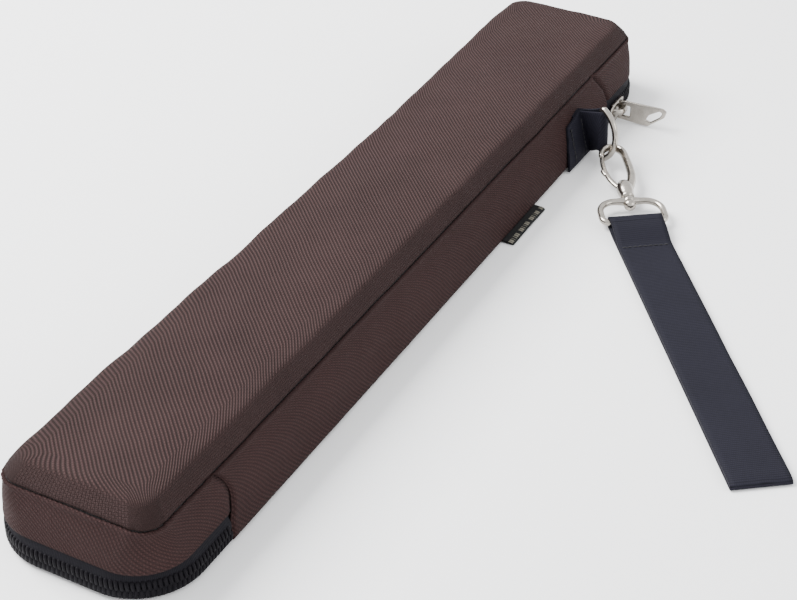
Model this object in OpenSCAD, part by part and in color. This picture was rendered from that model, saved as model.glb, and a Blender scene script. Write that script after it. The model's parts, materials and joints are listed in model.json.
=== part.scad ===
// Long zip-round carrying case for a folded music stand, with a wrist strap on a snap hook.
// Millimetres, +Z up. The origin is the centre of the underside, +Y runs along the case
// towards the slider, and +X is the side that the lid hinges on.

/* [Case] */
// Width of the case along its top seam
seam_w = 70; // [60:1:90]
// Length of the case along its top seam
seam_l = 446; // [400:1:500]
// Height of the top seam above the table
seam_z = 31; // [28:1:40]
// Height of the padded crown above the top seam
crown_h = 9; // [6:1:12]
// How much wider the foot is than the top seam, on each side
flare = 7; // [3:0.5:8]
// Corner radius at the top seam
seam_r = 9; // [8:1:14]
// Corner radius at the foot
foot_r = 28; // [24:1:30]
// Distance of the hinge side's two upright seams from the middle
panel_near = 180; // [160:1:185]
panel_far = 176; // [160:1:178]

/* [Layers] */
// Thickness of the woven outer fabric
fabric_t = 1.2; // [0.8:0.1:1.2]
// Thickness of the wall foam
foam_t = 3; // [2:0.5:4]
// Thickness of the lining
lining_t = 0.6; // [0.4:0.1:0.8]
// Thickness of the stiffening boards
board_t = 1.2; // [0.8:0.1:1.2]

/* [Zip] */
// Height of the zip's middle line above the table
zip_z = 5; // [5:0.1:5.2]
// Width of the two coils together
zip_w = 7.4; // [7:0.1:7.6]
// Depth of a coil
coil_d = 2.2; // [1.8:0.1:2.2]
// Length of the slider
slider_l = 16; // [14:1:16]
// Position of the slider's middle along the case, closed
slider_y = 186; // [186:0.5:187]
// How far the slider runs before the zip turns the corner
slider_travel = 8; // [4:1:8]
// Length of the pull tab from its pivot
pull_l = 25; // [20:1:30]

/* [Strap hardware] */
// Width of the webbing
web_w = 25; // [24:0.5:25]
// Thickness of the webbing
web_t = 1.3; // [1:0.1:1.3]
// Wire radius of the ring on the case
ring_wire = 1.5; // [1.2:0.1:1.6]
// Wire radius of the strap loop
loop_wire = 1.6; // [1.4:0.1:1.6]
// Length of the doubled wrist strap
strap_l = 189; // [120:1:240]
// Heading of the snap hook, counted from +X
hook_heading = -56.4; // [-57:0.1:-56]
// Heading of the strap, counted from +X
strap_heading = -53; // [-56:0.1:-53]

/* [Hidden] */
$fn = 48;
eps = 0.01;
foot_z = 3;
foot_w = seam_w + 2 * flare;
foot_l = seam_l + 2 * flare;
crown_z = seam_z + crown_h;
// Crease that the lid turns on
hinge_x = foot_w / 2;
hinge_z = 0.8;

// Base layers
cover_t = 0.8;
tape_t = 0.4;
base_foam_z = cover_t + board_t;
base_top = 4.2;
slider_gap_x = foot_w / 2 - 7.2;

// Coils
coil_gap = 1.2;
coil_out = 0.2;
coil_lo = zip_z - coil_gap / 2 - (zip_w - coil_gap) / 2;
coil_hi = zip_z + coil_gap / 2 + (zip_w - coil_gap) / 2;
zip_end_y = slider_y + slider_l / 2 + slider_travel + 1;

// Shell layers
tape_hi = 12.5;
mouth_z = 10.2;
binding_h = 1;
tape_side_t = 0.8;
foam_end_y = 204;

// Slider
channel = 0.4;
plate_t = 1.4;
coil_x = foot_w / 2 - coil_out;
plate_x = coil_x + channel;
slider_w = 9.6;
crown_r = 4.2;
crown_wire = 1.1;
pull_t = 1.4;
pull_w = 10.6;
pull_z = 6.4;
pull_x = plate_x + plate_t + 2;
pull_arm = 6;

// Ring on the case
ring_at = [52.5, 142.7, 15.2];
ring_lean = [-4, -9.5, -25];
ring_half = 13.3;
ring_bulge = 9.5;
ring_r = (ring_half * ring_half + ring_bulge * ring_bulge) / (2 * ring_bulge);
ring_angle = acos((ring_r - ring_bulge) / ring_r);
tab_y = [124, 149];
tab_z = [0.5, 21];
sleeve_r = 2.9;
sleeve = [-2.5, 9];
tab_neck_z = [7, 20.5];

// Snap hook, in its own frame: x runs from the ring towards the strap
hook_at = [59.6, 140, 8.9];
hook_tilt = 5;
hook_wire = 1.5;
nose_x = 3.2;
nose_r = 5.8;
nose_end = 268;
side_slope = 7.6;
side_run = 26;
block_x = [29.5, 36.2];
block_r = 3.9;
gate_pivot = [30.6, -2.1];
gate_tip = [6.5, -5.9];
gate_pin_r = 0.7;
neck_end = 37.3;
collar = [37.6, 41.6];
pin_r = 1.9;
pin_gap = 0.07;
head_r = 3.1;

// Strap loop and strap
loop_top = 39.6;
loop_bottom = 58.5;
loop_half = 14.6;
loop_r_top = 7;
loop_r_bottom = 2.4;
fold_gap = 0.8;

// Points of a rounded rectangle at height z, anticlockwise from above
function ring_points(w, l, r, z, n = 7) = [
    for (c = [0:3], i = [0:n])
        let (
            a = 90 * c + 90 * i / n,
            sx = (c == 0 || c == 3) ? 1 : -1,
            sy = (c < 2) ? 1 : -1
        )
        [sx * (w / 2 - r) + r * cos(a), sy * (l / 2 - r) + r * sin(a), z]
];

// Outline of the side wall at height z, moved in by inset
function wall_points(z, inset) =
    let (t = max(0, (z - foot_z) / (seam_z - foot_z)))
    ring_points(
        foot_w - 2 * flare * t - 2 * inset,
        foot_l - 2 * flare * t - 2 * inset,
        max(foot_r + (seam_r - foot_r) * t - inset, 1.5),
        z
    );

// Closed solid through a stack of point rings
module loft(rings) {
    k = len(rings[0]);
    n = len(rings);
    polyhedron(
        points = [for (r = rings) for (p = r) p],
        faces = concat(
            [[for (i = [0:k - 1]) i]],
            [[for (i = [k - 1:-1:0]) (n - 1) * k + i]],
            [for (j = [0:n - 2], i = [0:k - 1])
                [j * k + i, (j + 1) * k + i, (j + 1) * k + (i + 1) % k, j * k + (i + 1) % k]]
        )
    );
}

// Band of the side wall between two heights and two insets
module wall_band(z0, z1, inset0, inset1) {
    difference() {
        loft([wall_points(z0, inset0), wall_points(max(z0 + eps, foot_z + eps), inset0), wall_points(z1, inset0)]);
        loft([wall_points(z0 - 1, inset1), wall_points(max(z0 + eps, foot_z + eps), inset1), wall_points(z1 + 1, inset1)]);
    }
}

// Rounded rectangle at the foot, moved in by inset
module foot_shape(inset) {
    w = foot_w - 2 * inset;
    l = foot_l - 2 * inset;
    r = foot_r - inset;
    square([w - 2 * r, l], center = true);
    square([w, l - 2 * r], center = true);
    for (sx = [-1, 1], sy = [-1, 1])
        translate([sx * (w / 2 - r), sy * (l / 2 - r)]) circle(r);
}

// Flat ring at the foot between two insets
module foot_ring(z0, z1, inset0, inset1) {
    translate([0, 0, z0])
        linear_extrude(z1 - z0)
            difference() {
                foot_shape(inset0);
                foot_shape(inset1);
            }
}

// Flat plate at the foot
module foot_plate(z0, z1, inset) {
    translate([0, 0, z0]) linear_extrude(z1 - z0) foot_shape(inset);
}

// Box on the +X side between two positions along the case
module side_box(x0, y0, y1) {
    translate([x0, y0, -5]) cube([foot_w, y1 - y0, crown_z + 10]);
}

// Room for the slider as the lid turns with it
module slider_notch() {
    side_box(slider_gap_x, panel_far, zip_end_y + 0.4);
}

// Crown of the lid, moved in by inset
module crown_solid(inset) {
    levels = [[0, 0], [0.45, 2.4], [0.86, 5.2], [0.96, 8], [1, 13]];
    loft([for (v = levels)
        ring_points(
            seam_w - 2 * v[1] - 2 * inset,
            seam_l - 2 * v[1] - 2 * inset,
            max(seam_r - v[1] / 3 - inset, 2),
            seam_z + v[0] * (crown_h - inset)
        )
    ]);
}

module base_cover() {
    color("#4a3432")
        difference() {
            foot_plate(0, cover_t, 1.4);
            slider_notch();
        }
}

module lower_zip_tape() {
    color("#1c1b20")
        difference() {
            foot_ring(cover_t, cover_t + tape_t, 1.4, 8);
            slider_notch();
        }
}

module base_board() {
    color("#d8d4cc") foot_plate(cover_t, cover_t + board_t, 8.2);
}

module base_foam() {
    color("#3a3a3c")
        difference() {
            foot_plate(base_foam_z, base_top, 3);
            slider_notch();
        }
}

module base_lining() {
    color("#2a282b")
        difference() {
            foot_plate(base_top, base_top + lining_t, 5);
            slider_notch();
        }
}

module base_binding() {
    color("#1c1b20")
        difference() {
            foot_ring(base_top, base_top + lining_t, 3, 5);
            slider_notch();
        }
}

module lower_zip_coil() {
    color("#202026")
        difference() {
            foot_ring(coil_lo, zip_z - coil_gap / 2, coil_out, coil_out + coil_d);
            side_box(0, -panel_near, zip_end_y + 0.4);
        }
}

module side_label() {
    label_l = 36;
    label_out = 5.8;
    color("#1a1a1a")
        translate([hinge_x - 0.6, 68 - label_l / 2, 0.05]) cube([label_out + 0.6, label_l, 0.55]);
}

module top_panel() {
    color("#4a3432")
        difference() {
            crown_solid(0);
            translate([0, 0, -eps]) crown_solid(fabric_t);
        }
}

module top_foam() {
    color("#3a3a3c")
        difference() {
            crown_solid(fabric_t + 0.1);
            translate([0, 0, seam_z + board_t / 2 - 1])
                cube([foot_w, foot_l, board_t + 2], center = true);
        }
}

module top_board() {
    color("#d8d4cc")
        translate([0, 0, seam_z + eps])
            loft([
                ring_points(seam_w - 6, seam_l - 6, seam_r - 3, 0),
                ring_points(seam_w - 6, seam_l - 6, seam_r - 3, board_t - 0.05)
            ]);
}

module top_lining() {
    w = 2 * (fabric_t + foam_t);
    color("#2a282b")
        loft([
            ring_points(seam_w - w - 1, seam_l - w - 1, seam_r - w / 2, seam_z - lining_t),
            ring_points(seam_w - w - 1, seam_l - w - 1, seam_r - w / 2, seam_z)
        ]);
}

module zip_gusset() {
    color("#4a3432")
        difference() {
            wall_band(tape_hi, seam_z, 0, fabric_t);
            side_box(0, -panel_near, panel_far);
        }
}

module hinge_panel() {
    color("#4a3432")
        intersection() {
            wall_band(hinge_z + 0.4, seam_z, 0, fabric_t);
            side_box(10, -panel_near + 0.05, panel_far - 0.05);
        }
}

// All the wall's foam
module foam_band() {
    wall_band(mouth_z + binding_h, seam_z, fabric_t, fabric_t + foam_t);
}

module side_foam() {
    color("#3a3a3c")
        intersection() {
            foam_band();
            translate([-foot_w, -foam_end_y, 0]) cube([2 * foot_w, 2 * foam_end_y, seam_z + 1]);
        }
}

module end_foam() {
    color("#3a3a3c")
        difference() {
            foam_band();
            translate([-foot_w, -foam_end_y - eps, 0])
                cube([2 * foot_w, 2 * (foam_end_y + eps), seam_z + 1]);
        }
}

module wall_lining() {
    inset = fabric_t + foam_t;
    color("#2a282b")
        wall_band(mouth_z + binding_h, seam_z - lining_t - 1, inset, inset + lining_t);
}

module lining_seam_tape() {
    inset = fabric_t + foam_t;
    color("#1c1b20")
        wall_band(seam_z - lining_t - 1, seam_z - lining_t, inset, inset + 2);
}

module mouth_binding() {
    color("#1c1b20")
        wall_band(mouth_z, mouth_z + binding_h, fabric_t, fabric_t + foam_t + lining_t);
}

module upper_zip_tape() {
    color("#1c1b20")
        difference() {
            wall_band(coil_hi, tape_hi, fabric_t - tape_side_t, fabric_t);
            side_box(0, -panel_near, panel_far);
        }
}

module upper_zip_coil() {
    color("#202026")
        difference() {
            foot_ring(zip_z + coil_gap / 2, coil_hi, coil_out, coil_out + coil_d);
            side_box(0, -panel_near, panel_far);
        }
}

module zip_end_tape() {
    color("#1c1b20")
        translate([coil_x - 2.8, panel_far + 0.2, 0.2])
            cube([1.2, zip_end_y - panel_far - 0.2, coil_lo - 0.2]);
}

module zip_end_coil() {
    color("#202026")
        translate([coil_x - coil_d, panel_far + 0.2, coil_lo])
            cube([coil_d, zip_end_y - panel_far - 0.2, zip_z - coil_gap / 2 - coil_lo]);
}

// Places children at the ring: z along its straight bar, x where it bulges
module at_ring() {
    translate(ring_at) rotate(ring_lean) children();
}

// Small upright slab on the hinge wall, used to lay the webbing on it
module wall_slab(y, z) {
    t = (z - foot_z) / (seam_z - foot_z);
    translate([foot_w / 2 - flare * t + 0.1, y, z]) cube([2 * web_t, 1, 0.5]);
}

module ring_tab() {
    color("#1e1f27")
        difference() {
            union() {
                hull() {
                    for (y = tab_y, z = tab_z) wall_slab(y, z);
                }
                hull() {
                    for (z = tab_neck_z) wall_slab(tab_y[1], z);
                    at_ring() translate([0, 0, sleeve[0]])
                        cylinder(r = sleeve_r, h = sleeve[1] - sleeve[0], $fn = 32);
                }
            }
            at_ring() cylinder(r = ring_wire + 0.35, h = 60, center = true);
        }
}

module ring_tab_stitching() {
    stitches = 5;
    z0 = tab_z[0] + 2.5;
    pitch = (tab_z[1] - tab_z[0] - 5) / (stitches - 1);
    color("#14141a")
        for (y = [tab_y[0] + 2, tab_y[1] - 4], i = [0:stitches - 1]) {
            z = z0 + i * pitch;
            t = (z - foot_z) / (seam_z - foot_z);
            translate([foot_w / 2 - flare * t + 2 * web_t + 0.9, y, z]) sphere(r = 0.6, $fn = 16);
        }
}

module slider_body() {
    color("#b9b4ac")
        translate([0, slider_y - slider_l / 2, 0]) {
            // outer plate with its two flanges
            translate([plate_x, 0, zip_z - slider_w / 2]) cube([plate_t, slider_l, slider_w]);
            for (z = [zip_z - slider_w / 2, zip_z + slider_w / 2 - 0.6])
                translate([plate_x - 1.2, 0, z]) cube([1.2 + eps, slider_l, 0.6]);
            // inner plate
            translate([coil_x - coil_d - 2.4, 0, zip_z - slider_w / 2])
                cube([1.2, slider_l, slider_w]);
            // post between the coils
            translate([coil_x - coil_d - 1.3, 0, zip_z - 0.4]) cube([5, 2.5, 0.8]);
        }
}

module slider_crown() {
    color("#b9b4ac")
        translate([plate_x + plate_t, slider_y, pull_z - 0.6])
            intersection() {
                rotate_extrude()
                    translate([crown_r, 0]) circle(crown_wire);
                translate([0, -10, -5]) cube([20, 20, 10]);
            }
}

module pull_tab() {
    hole_w = 4.6;
    hole_l = 6.5;
    tip = pull_l;
    shoulder = pull_l - 6;
    color("#b9b4ac")
        translate([pull_x, slider_y, pull_z]) {
            rotate([90, 0, 0])
                translate([0, 0, -pull_t / 2])
                    linear_extrude(pull_t)
                        difference() {
                            polygon([
                                [0, -4.6], [8, -4.3], [shoulder, -pull_w / 2], [tip, -1.5],
                                [tip, 2.6], [tip - 2, 4.6], [0, 4.6]
                            ]);
                            // eye that the crown passes through
                            translate([0.8, -3.2]) square([pull_arm - 0.8, 6.4]);
                            translate([-1, -3.2]) square([2, 6.4]);
                            // hexagonal hole at the tip
                            translate([tip - 5.6, -0.6])
                                rotate(35)
                                    polygon([
                                        [-hole_l / 2, 0], [-hole_l / 4, -hole_w / 2],
                                        [hole_l / 4, -hole_w / 2], [hole_l / 2, 0],
                                        [hole_l / 4, hole_w / 2], [-hole_l / 4, hole_w / 2]
                                    ]);
                        }
            // pivot bar inside the crown
            cylinder(r = 0.7, h = 8.4, center = true);
        }
}

module d_ring() {
    color("#c4bfb6")
        at_ring() {
            cylinder(r = ring_wire, h = 2 * ring_half, center = true);
            for (s = [-1, 1]) translate([0, 0, s * ring_half]) sphere(ring_wire);
            translate([ring_bulge - ring_r, 0, 0])
                rotate([90, 0, 0])
                    rotate([0, 0, -ring_angle])
                        rotate_extrude(angle = 2 * ring_angle, $fn = 72)
                            translate([ring_r, 0]) circle(ring_wire);
        }
}

// Places children in the snap hook's frame
module at_hook() {
    translate(hook_at) rotate([0, hook_tilt, hook_heading]) children();
}

module hook_body() {
    color("#c4bfb6")
        at_hook()
            difference() {
                union() {
                    // nose bend, then the straight side that runs on from it
                    translate([nose_x, 0, 0])
                        rotate([0, 0, 90 - side_slope])
                            rotate_extrude(angle = nose_end - 90 + side_slope)
                                translate([nose_r, 0]) circle(hook_wire);
                    translate([nose_x, 0, 0])
                        rotate([0, 0, 90 - side_slope])
                            translate([nose_r, 0, 0])
                                rotate([90, 0, 0]) cylinder(r = hook_wire, h = side_run);
                    // block, neck, swivel pin and riveted head
                    translate([block_x[0], 0, 0])
                        rotate([0, 90, 0]) cylinder(r = block_r, h = block_x[1] - block_x[0]);
                    translate([block_x[1] - 1, 0, 0])
                        rotate([0, 90, 0]) cylinder(r = 3, h = neck_end - block_x[1] + 1);
                    translate([neck_end - 1, 0, 0]) rotate([0, 90, 0]) cylinder(r = pin_r, h = 6);
                    difference() {
                        translate([collar[1] + 1.3, 0, 0]) sphere(head_r);
                        translate([collar[1] + 0.3 - 20, -10, -10]) cube(20);
                    }
                }
                // slot for the gate and its spring
                translate([24, -10, -1.3]) cube([11.3, 10.4, 2.6]);
                translate([gate_pivot[0], gate_pivot[1], -6]) cylinder(r = gate_pin_r, h = 12);
            }
}

module gate_pin() {
    color("#8f8b84")
        at_hook() translate([gate_pivot[0], gate_pivot[1], -3]) cylinder(r = gate_pin_r, h = 6);
}

module gate_spring() {
    turns = 4;
    wire = 0.3;
    color("#8f8b84")
        at_hook()
            translate([33.9, -1.3, -wire * 1.6 * (turns - 1) / 2])
                rotate_extrude()
                    for (i = [0:turns - 1]) translate([0.9, i * wire * 1.6]) circle(wire, $fn = 24);
}

module hook_gate() {
    dx = gate_pivot[0] - gate_tip[0];
    dy = gate_pivot[1] - gate_tip[1];
    color("#c4bfb6")
        at_hook()
            difference() {
                union() {
                    translate([gate_pivot[0], gate_pivot[1], -1.05]) cylinder(r = 1.9, h = 2.1);
                    translate([gate_tip[0], gate_tip[1], -0.9])
                        rotate([0, 0, atan2(dy, dx)])
                            translate([0, -1, 0]) cube([sqrt(dx * dx + dy * dy) - 1, 2, 1.8]);
                    // thumb lever
                    translate([gate_tip[0] + 12, gate_tip[1] + 0.4, -1]) cylinder(r = 1.9, h = 2);
                }
                translate([gate_pivot[0], gate_pivot[1], -3])
                    cylinder(r = gate_pin_r + 0.05, h = 6);
            }
}

module strap_loop() {
    color("#c4bfb6")
        at_hook() {
            difference() {
                union() {
                    translate([collar[0], 0, 0])
                        rotate([0, 90, 0]) cylinder(r = 3.5, h = collar[1] - collar[0]);
                    translate([loop_top, 0, 0])
                        rotate([90, 0, 0])
                            cylinder(r = loop_wire, h = 2 * (loop_half - loop_r_top), center = true);
                }
                translate([collar[0] - 1, 0, 0])
                    rotate([0, 90, 0]) cylinder(r = pin_r + pin_gap, h = 6);
            }
            for (s = [-1, 1]) {
                translate([loop_top + loop_r_top, s * (loop_half - loop_r_top), 0])
                    rotate([0, 0, s > 0 ? 90 : 180])
                        rotate_extrude(angle = 90) translate([loop_r_top, 0]) circle(loop_wire);
                translate([loop_top + loop_r_top, s * loop_half, 0])
                    rotate([0, 90, 0])
                        cylinder(r = loop_wire, h = loop_bottom - loop_r_bottom - loop_top - loop_r_top);
                translate([loop_bottom - loop_r_bottom, s * (loop_half - loop_r_bottom), 0])
                    rotate([0, 0, s > 0 ? 0 : 270])
                        rotate_extrude(angle = 90) translate([loop_r_bottom, 0]) circle(loop_wire);
            }
            translate([loop_bottom, 0, 0])
                rotate([90, 0, 0])
                    cylinder(r = loop_wire, h = 2 * (loop_half - loop_r_bottom), center = true);
        }
}

// Height of the strap's bar above the table, and its place
bar_z = hook_at[2] - loop_bottom * sin(hook_tilt);
bar_run = loop_bottom * cos(hook_tilt);
bar_at = [
    hook_at[0] + bar_run * cos(hook_heading),
    hook_at[1] + bar_run * sin(hook_heading),
    0
];

// Places children in the strap's frame: x along the strap, z up from the table
module at_strap() {
    translate(bar_at) rotate([0, 0, strap_heading]) children();
}

module wrist_strap() {
    fold_r = loop_wire + fold_gap + web_t;
    flat_t = 2 * web_t + 0.4;
    color("#1e1f27")
        at_strap()
            rotate([90, 0, 0])
                difference() {
                    union() {
                        // fold round the loop's bar
                        translate([0, bar_z, 0]) cylinder(r = fold_r, h = web_w, center = true);
                        // two layers lying on each other
                        translate([0, 0, -web_w / 2 + 0.05])
                            linear_extrude(web_w - 0.1)
                                polygon([
                                    [1, bar_z + fold_r - web_t / 2], [7, 6.2], [16, 3.8],
                                    [26, flat_t], [strap_l, flat_t], [strap_l, 0], [5, 0],
                                    [1, bar_z - fold_r + web_t / 2]
                                ]);
                    }
                    translate([0, bar_z, 0])
                        cylinder(r = loop_wire + fold_gap, h = web_w + 2, center = true);
                }
}

module strap_stitching() {
    stitches = 9;
    pitch = 2.4;
    color("#14141a")
        at_strap()
            for (i = [0:stitches - 1])
                translate([16, (i - (stitches - 1) / 2) * pitch, 4.4]) sphere(r = 0.5, $fn = 16);
}

base_cover();
lower_zip_tape();
base_board();
base_foam();
base_lining();
base_binding();
lower_zip_coil();
side_label();
top_panel();
top_foam();
top_board();
top_lining();
zip_gusset();
hinge_panel();
side_foam();
end_foam();
wall_lining();
lining_seam_tape();
mouth_binding();
upper_zip_tape();
upper_zip_coil();
zip_end_tape();
zip_end_coil();
ring_tab();
ring_tab_stitching();
slider_body();
slider_crown();
pull_tab();
d_ring();
hook_body();
gate_pin();
gate_spring();
hook_gate();
strap_loop();
wrist_strap();
strap_stitching();
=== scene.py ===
"""Looks of a long zip-round carrying case with a wrist strap, built round its CAD frame.

Lengths in this file are millimetres until mesh_object() turns them into metres, unless a name ends in _M.
"""
import json
import math

import bpy
import numpy as np
from mathutils import Matrix, Vector, noise


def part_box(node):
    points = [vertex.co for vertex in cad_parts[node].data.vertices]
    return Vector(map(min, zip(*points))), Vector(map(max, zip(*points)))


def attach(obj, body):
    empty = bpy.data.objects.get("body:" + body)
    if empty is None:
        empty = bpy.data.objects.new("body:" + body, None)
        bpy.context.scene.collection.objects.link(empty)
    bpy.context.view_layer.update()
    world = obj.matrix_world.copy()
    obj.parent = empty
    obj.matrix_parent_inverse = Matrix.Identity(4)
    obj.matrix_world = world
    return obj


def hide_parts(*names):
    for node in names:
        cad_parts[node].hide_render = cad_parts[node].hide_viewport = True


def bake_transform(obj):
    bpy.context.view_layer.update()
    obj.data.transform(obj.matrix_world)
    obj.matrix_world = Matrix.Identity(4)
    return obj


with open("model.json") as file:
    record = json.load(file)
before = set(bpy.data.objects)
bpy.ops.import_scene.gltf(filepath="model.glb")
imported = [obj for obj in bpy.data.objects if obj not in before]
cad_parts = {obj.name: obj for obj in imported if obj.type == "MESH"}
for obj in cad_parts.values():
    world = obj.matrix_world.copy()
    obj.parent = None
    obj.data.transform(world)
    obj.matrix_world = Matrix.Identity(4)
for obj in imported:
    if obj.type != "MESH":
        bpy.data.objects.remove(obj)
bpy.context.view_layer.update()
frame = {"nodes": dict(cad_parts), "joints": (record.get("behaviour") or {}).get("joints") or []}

MM = 0.001


# ---------------------------------------------------------------- camera, light and floor
CAMERA_AZIMUTH = math.radians(27.98)
CAMERA_ELEVATION = math.radians(35.05)
CAMERA_ROLL = math.radians(0.39)
CAMERA_DISTANCE_M = 0.78546
CAMERA_TARGET_M = Vector((0.02145, -0.01466, 0))
CAMERA_LENS = 79.38


def make_camera():
    back = Vector((
        math.sin(CAMERA_AZIMUTH) * math.cos(CAMERA_ELEVATION),
        -math.cos(CAMERA_AZIMUTH) * math.cos(CAMERA_ELEVATION),
        math.sin(CAMERA_ELEVATION),
    ))
    level = Vector((math.cos(CAMERA_AZIMUTH), math.sin(CAMERA_AZIMUTH), 0))
    upright = back.cross(level)
    right = level * math.cos(CAMERA_ROLL) + upright * math.sin(CAMERA_ROLL)
    up = upright * math.cos(CAMERA_ROLL) - level * math.sin(CAMERA_ROLL)
    camera = bpy.data.objects.new("camera", bpy.data.cameras.new("camera"))
    camera.data.sensor_width = 36
    camera.data.lens = CAMERA_LENS
    camera.data.clip_start = 0.01
    place = CAMERA_TARGET_M + back * CAMERA_DISTANCE_M
    camera.matrix_world = Matrix((
        (right.x, up.x, back.x, place.x),
        (right.y, up.y, back.y, place.y),
        (right.z, up.z, back.z, place.z),
        (0, 0, 0, 1),
    ))
    bpy.context.scene.collection.objects.link(camera)
    bpy.context.scene.camera = camera


def area_light(name, place, target, size, power, colour=(1, 1, 1)):
    data = bpy.data.lights.new(name, "AREA")
    data.shape = "RECTANGLE"
    data.size, data.size_y = size
    data.energy = power
    data.color = colour
    light = bpy.data.objects.new(name, data)
    light.location = place
    light.rotation_euler = (Vector(target) - Vector(place)).to_track_quat("-Z", "Y").to_euler()
    bpy.context.scene.collection.objects.link(light)


def make_studio():
    area_light("key", (-1.15, -0.1, 1.2), (0, 0, 0), (1.0, 1.0), 92)
    area_light("fill", (1.4, 0.1, 0.8), (0.05, 0, 0), (1.0, 0.8), 9)
    world = bpy.data.worlds.new("studio")
    bpy.context.scene.world = world
    world.use_nodes = True
    background = world.node_tree.nodes["Background"]
    background.inputs["Color"].default_value = (0.97, 0.98, 1, 1)
    background.inputs["Strength"].default_value = 1.7
    half = 3000
    floor = mesh_object(
        "floor", [(-half, -half, 0), (half, -half, 0), (half, half, 0), (-half, half, 0)], [(0, 1, 2, 3)]
    )
    floor.location.z = -0.0002
    mat, nodes, links, shader = new_material("pale_floor")
    shader.inputs["Base Color"].default_value = (0.9, 0.9, 0.9, 1)
    shader.inputs["Roughness"].default_value = 0.9
    floor.data.materials.append(mat)


# ---------------------------------------------------------------- mesh helpers
def mesh_object(name, verts, faces, uvs=None, smooth=True):
    """An object from points in millimetres, with one UV, also in millimetres, for each point."""
    mesh = bpy.data.meshes.new(name)
    mesh.from_pydata([(x * MM, y * MM, z * MM) for x, y, z in verts], [], [tuple(f) for f in faces])
    if uvs is not None:
        layer = mesh.uv_layers.new(name="weave")
        corner = np.zeros(len(mesh.loops), int)
        mesh.loops.foreach_get("vertex_index", corner)
        layer.data.foreach_set("uv", np.asarray(uvs, float).reshape(-1, 2)[corner].ravel())
    mesh.polygons.foreach_set("use_smooth", [smooth] * len(mesh.polygons))
    mesh.update()
    obj = bpy.data.objects.new(name, mesh)
    bpy.context.scene.collection.objects.link(obj)
    return obj


def grid_faces(rows, columns, start=0, wrap=False):
    """Quads of a grid of points that is stored row by row; wrap joins the last column to the first."""
    faces = []
    for j in range(rows - 1):
        for i in range(columns if wrap else columns - 1):
            k = (i + 1) % columns
            faces.append((
                start + j * columns + i, start + j * columns + k,
                start + (j + 1) * columns + k, start + (j + 1) * columns + i,
            ))
    return faces


def grid_object(name, points, uvs, wrap=False):
    rows, columns = points.shape[:2]
    return mesh_object(name, points.reshape(-1, 3), grid_faces(rows, columns, 0, wrap), uvs.reshape(-1, 2))


def keep_modifiers(obj):
    """Turns the modifiers' result into the object's own mesh."""
    bpy.context.view_layer.update()
    shaped = obj.evaluated_get(bpy.context.evaluated_depsgraph_get())
    mesh = bpy.data.meshes.new_from_object(shaped)
    obj.modifiers.clear()
    obj.data = mesh
    return obj


def thicken(obj, thickness):
    """Gives a sheet its thickness, inwards from its outer face."""
    solid = obj.modifiers.new("thickness", "SOLIDIFY")
    solid.thickness = thickness * MM
    solid.offset = -1
    return keep_modifiers(obj)


def finish_piece(obj, material, body, slot, *replaced):
    """Material, body and CAD nodes of a finished piece; slot is not used."""
    obj.data.materials.clear()
    obj.data.materials.append(material)
    if body:
        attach(obj, body)
    if replaced:
        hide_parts(*replaced)
    return obj


def frames_along(path, closed=False):
    """Tangent, side and top directions along a path, without twist."""
    path = np.asarray(path, float)
    n = len(path)
    ahead = (
        np.roll(path, -1, 0) - path
        if closed
        else np.vstack([path[1:] - path[:-1], path[-1:] - path[-2:-1]])
    )
    behind = np.roll(ahead, 1, 0) if closed else np.vstack([ahead[:1], ahead[:-1]])
    tangent = (
        ahead / np.linalg.norm(ahead, axis=1)[:, None]
        + behind / np.linalg.norm(behind, axis=1)[:, None]
    )
    tangent /= np.linalg.norm(tangent, axis=1)[:, None]
    first = np.cross(tangent[0], [0, 0, 1])
    if np.linalg.norm(first) < 0.2:
        first = np.cross(tangent[0], [0, 1, 0])
    side = [first / np.linalg.norm(first)]
    for i in range(1, n):
        s = side[-1] - tangent[i] * np.dot(side[-1], tangent[i])
        side.append(s / np.linalg.norm(s))
    side = np.array(side)
    return path, tangent, side, np.cross(tangent, side)


def tube(path, radii, sides=16, closed=False):
    """Points and faces of a tube; radii holds one (width, height) pair for each point of the path."""
    path, tangent, side, top = frames_along(path, closed)
    radii = np.broadcast_to(
        np.asarray(radii, float).reshape(-1, 1) if np.ndim(radii) < 2 else radii, (len(path), 2)
    )
    turn = np.linspace(0, 2 * math.pi, sides, endpoint=False)
    ring = (
        path[:, None]
        + side[:, None] * (np.cos(turn)[None, :, None] * radii[:, :1, None])
        + top[:, None] * (np.sin(turn)[None, :, None] * radii[:, 1:, None])
    )
    verts = ring.reshape(-1, 3)
    faces = grid_faces(len(path), sides, 0, True)
    if closed:
        last = (len(path) - 1) * sides
        faces += [(last + i, last + (i + 1) % sides, (i + 1) % sides, i) for i in range(sides)]
    else:
        faces += [tuple(range(sides - 1, -1, -1)), tuple(range(len(verts) - sides, len(verts)))]
    return verts, faces


def round_ends(path, radii, steps=4):
    """Adds a few points at each end of a path so that its tube ends in a dome."""
    path = [np.asarray(p, float) for p in path]
    radii = [np.broadcast_to(np.asarray(r, float), 2) for r in radii]
    out_path, out_radii = list(path), list(radii)
    for at, towards in ((0, 1), (-1, -2)):
        d = path[at] - path[towards]
        d /= np.linalg.norm(d)
        r = radii[at]
        extra = [
            (path[at] + d * r.min() * math.sin(a), r * max(math.cos(a), 0.04))
            for a in np.linspace(0, math.pi / 2, steps + 1)[1:]
        ]
        for p, q in extra:
            if at == 0:
                out_path.insert(0, p)
                out_radii.insert(0, q)
            else:
                out_path.append(p)
                out_radii.append(q)
    return np.array(out_path), np.array(out_radii)


def joined(parts):
    """Several (points, faces) pairs as one."""
    verts, faces, start = [], [], 0
    for v, f in parts:
        verts.append(np.asarray(v, float).reshape(-1, 3))
        faces += [tuple(start + i for i in face) for face in f]
        start += len(v)
    return np.vstack(verts), faces


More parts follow.
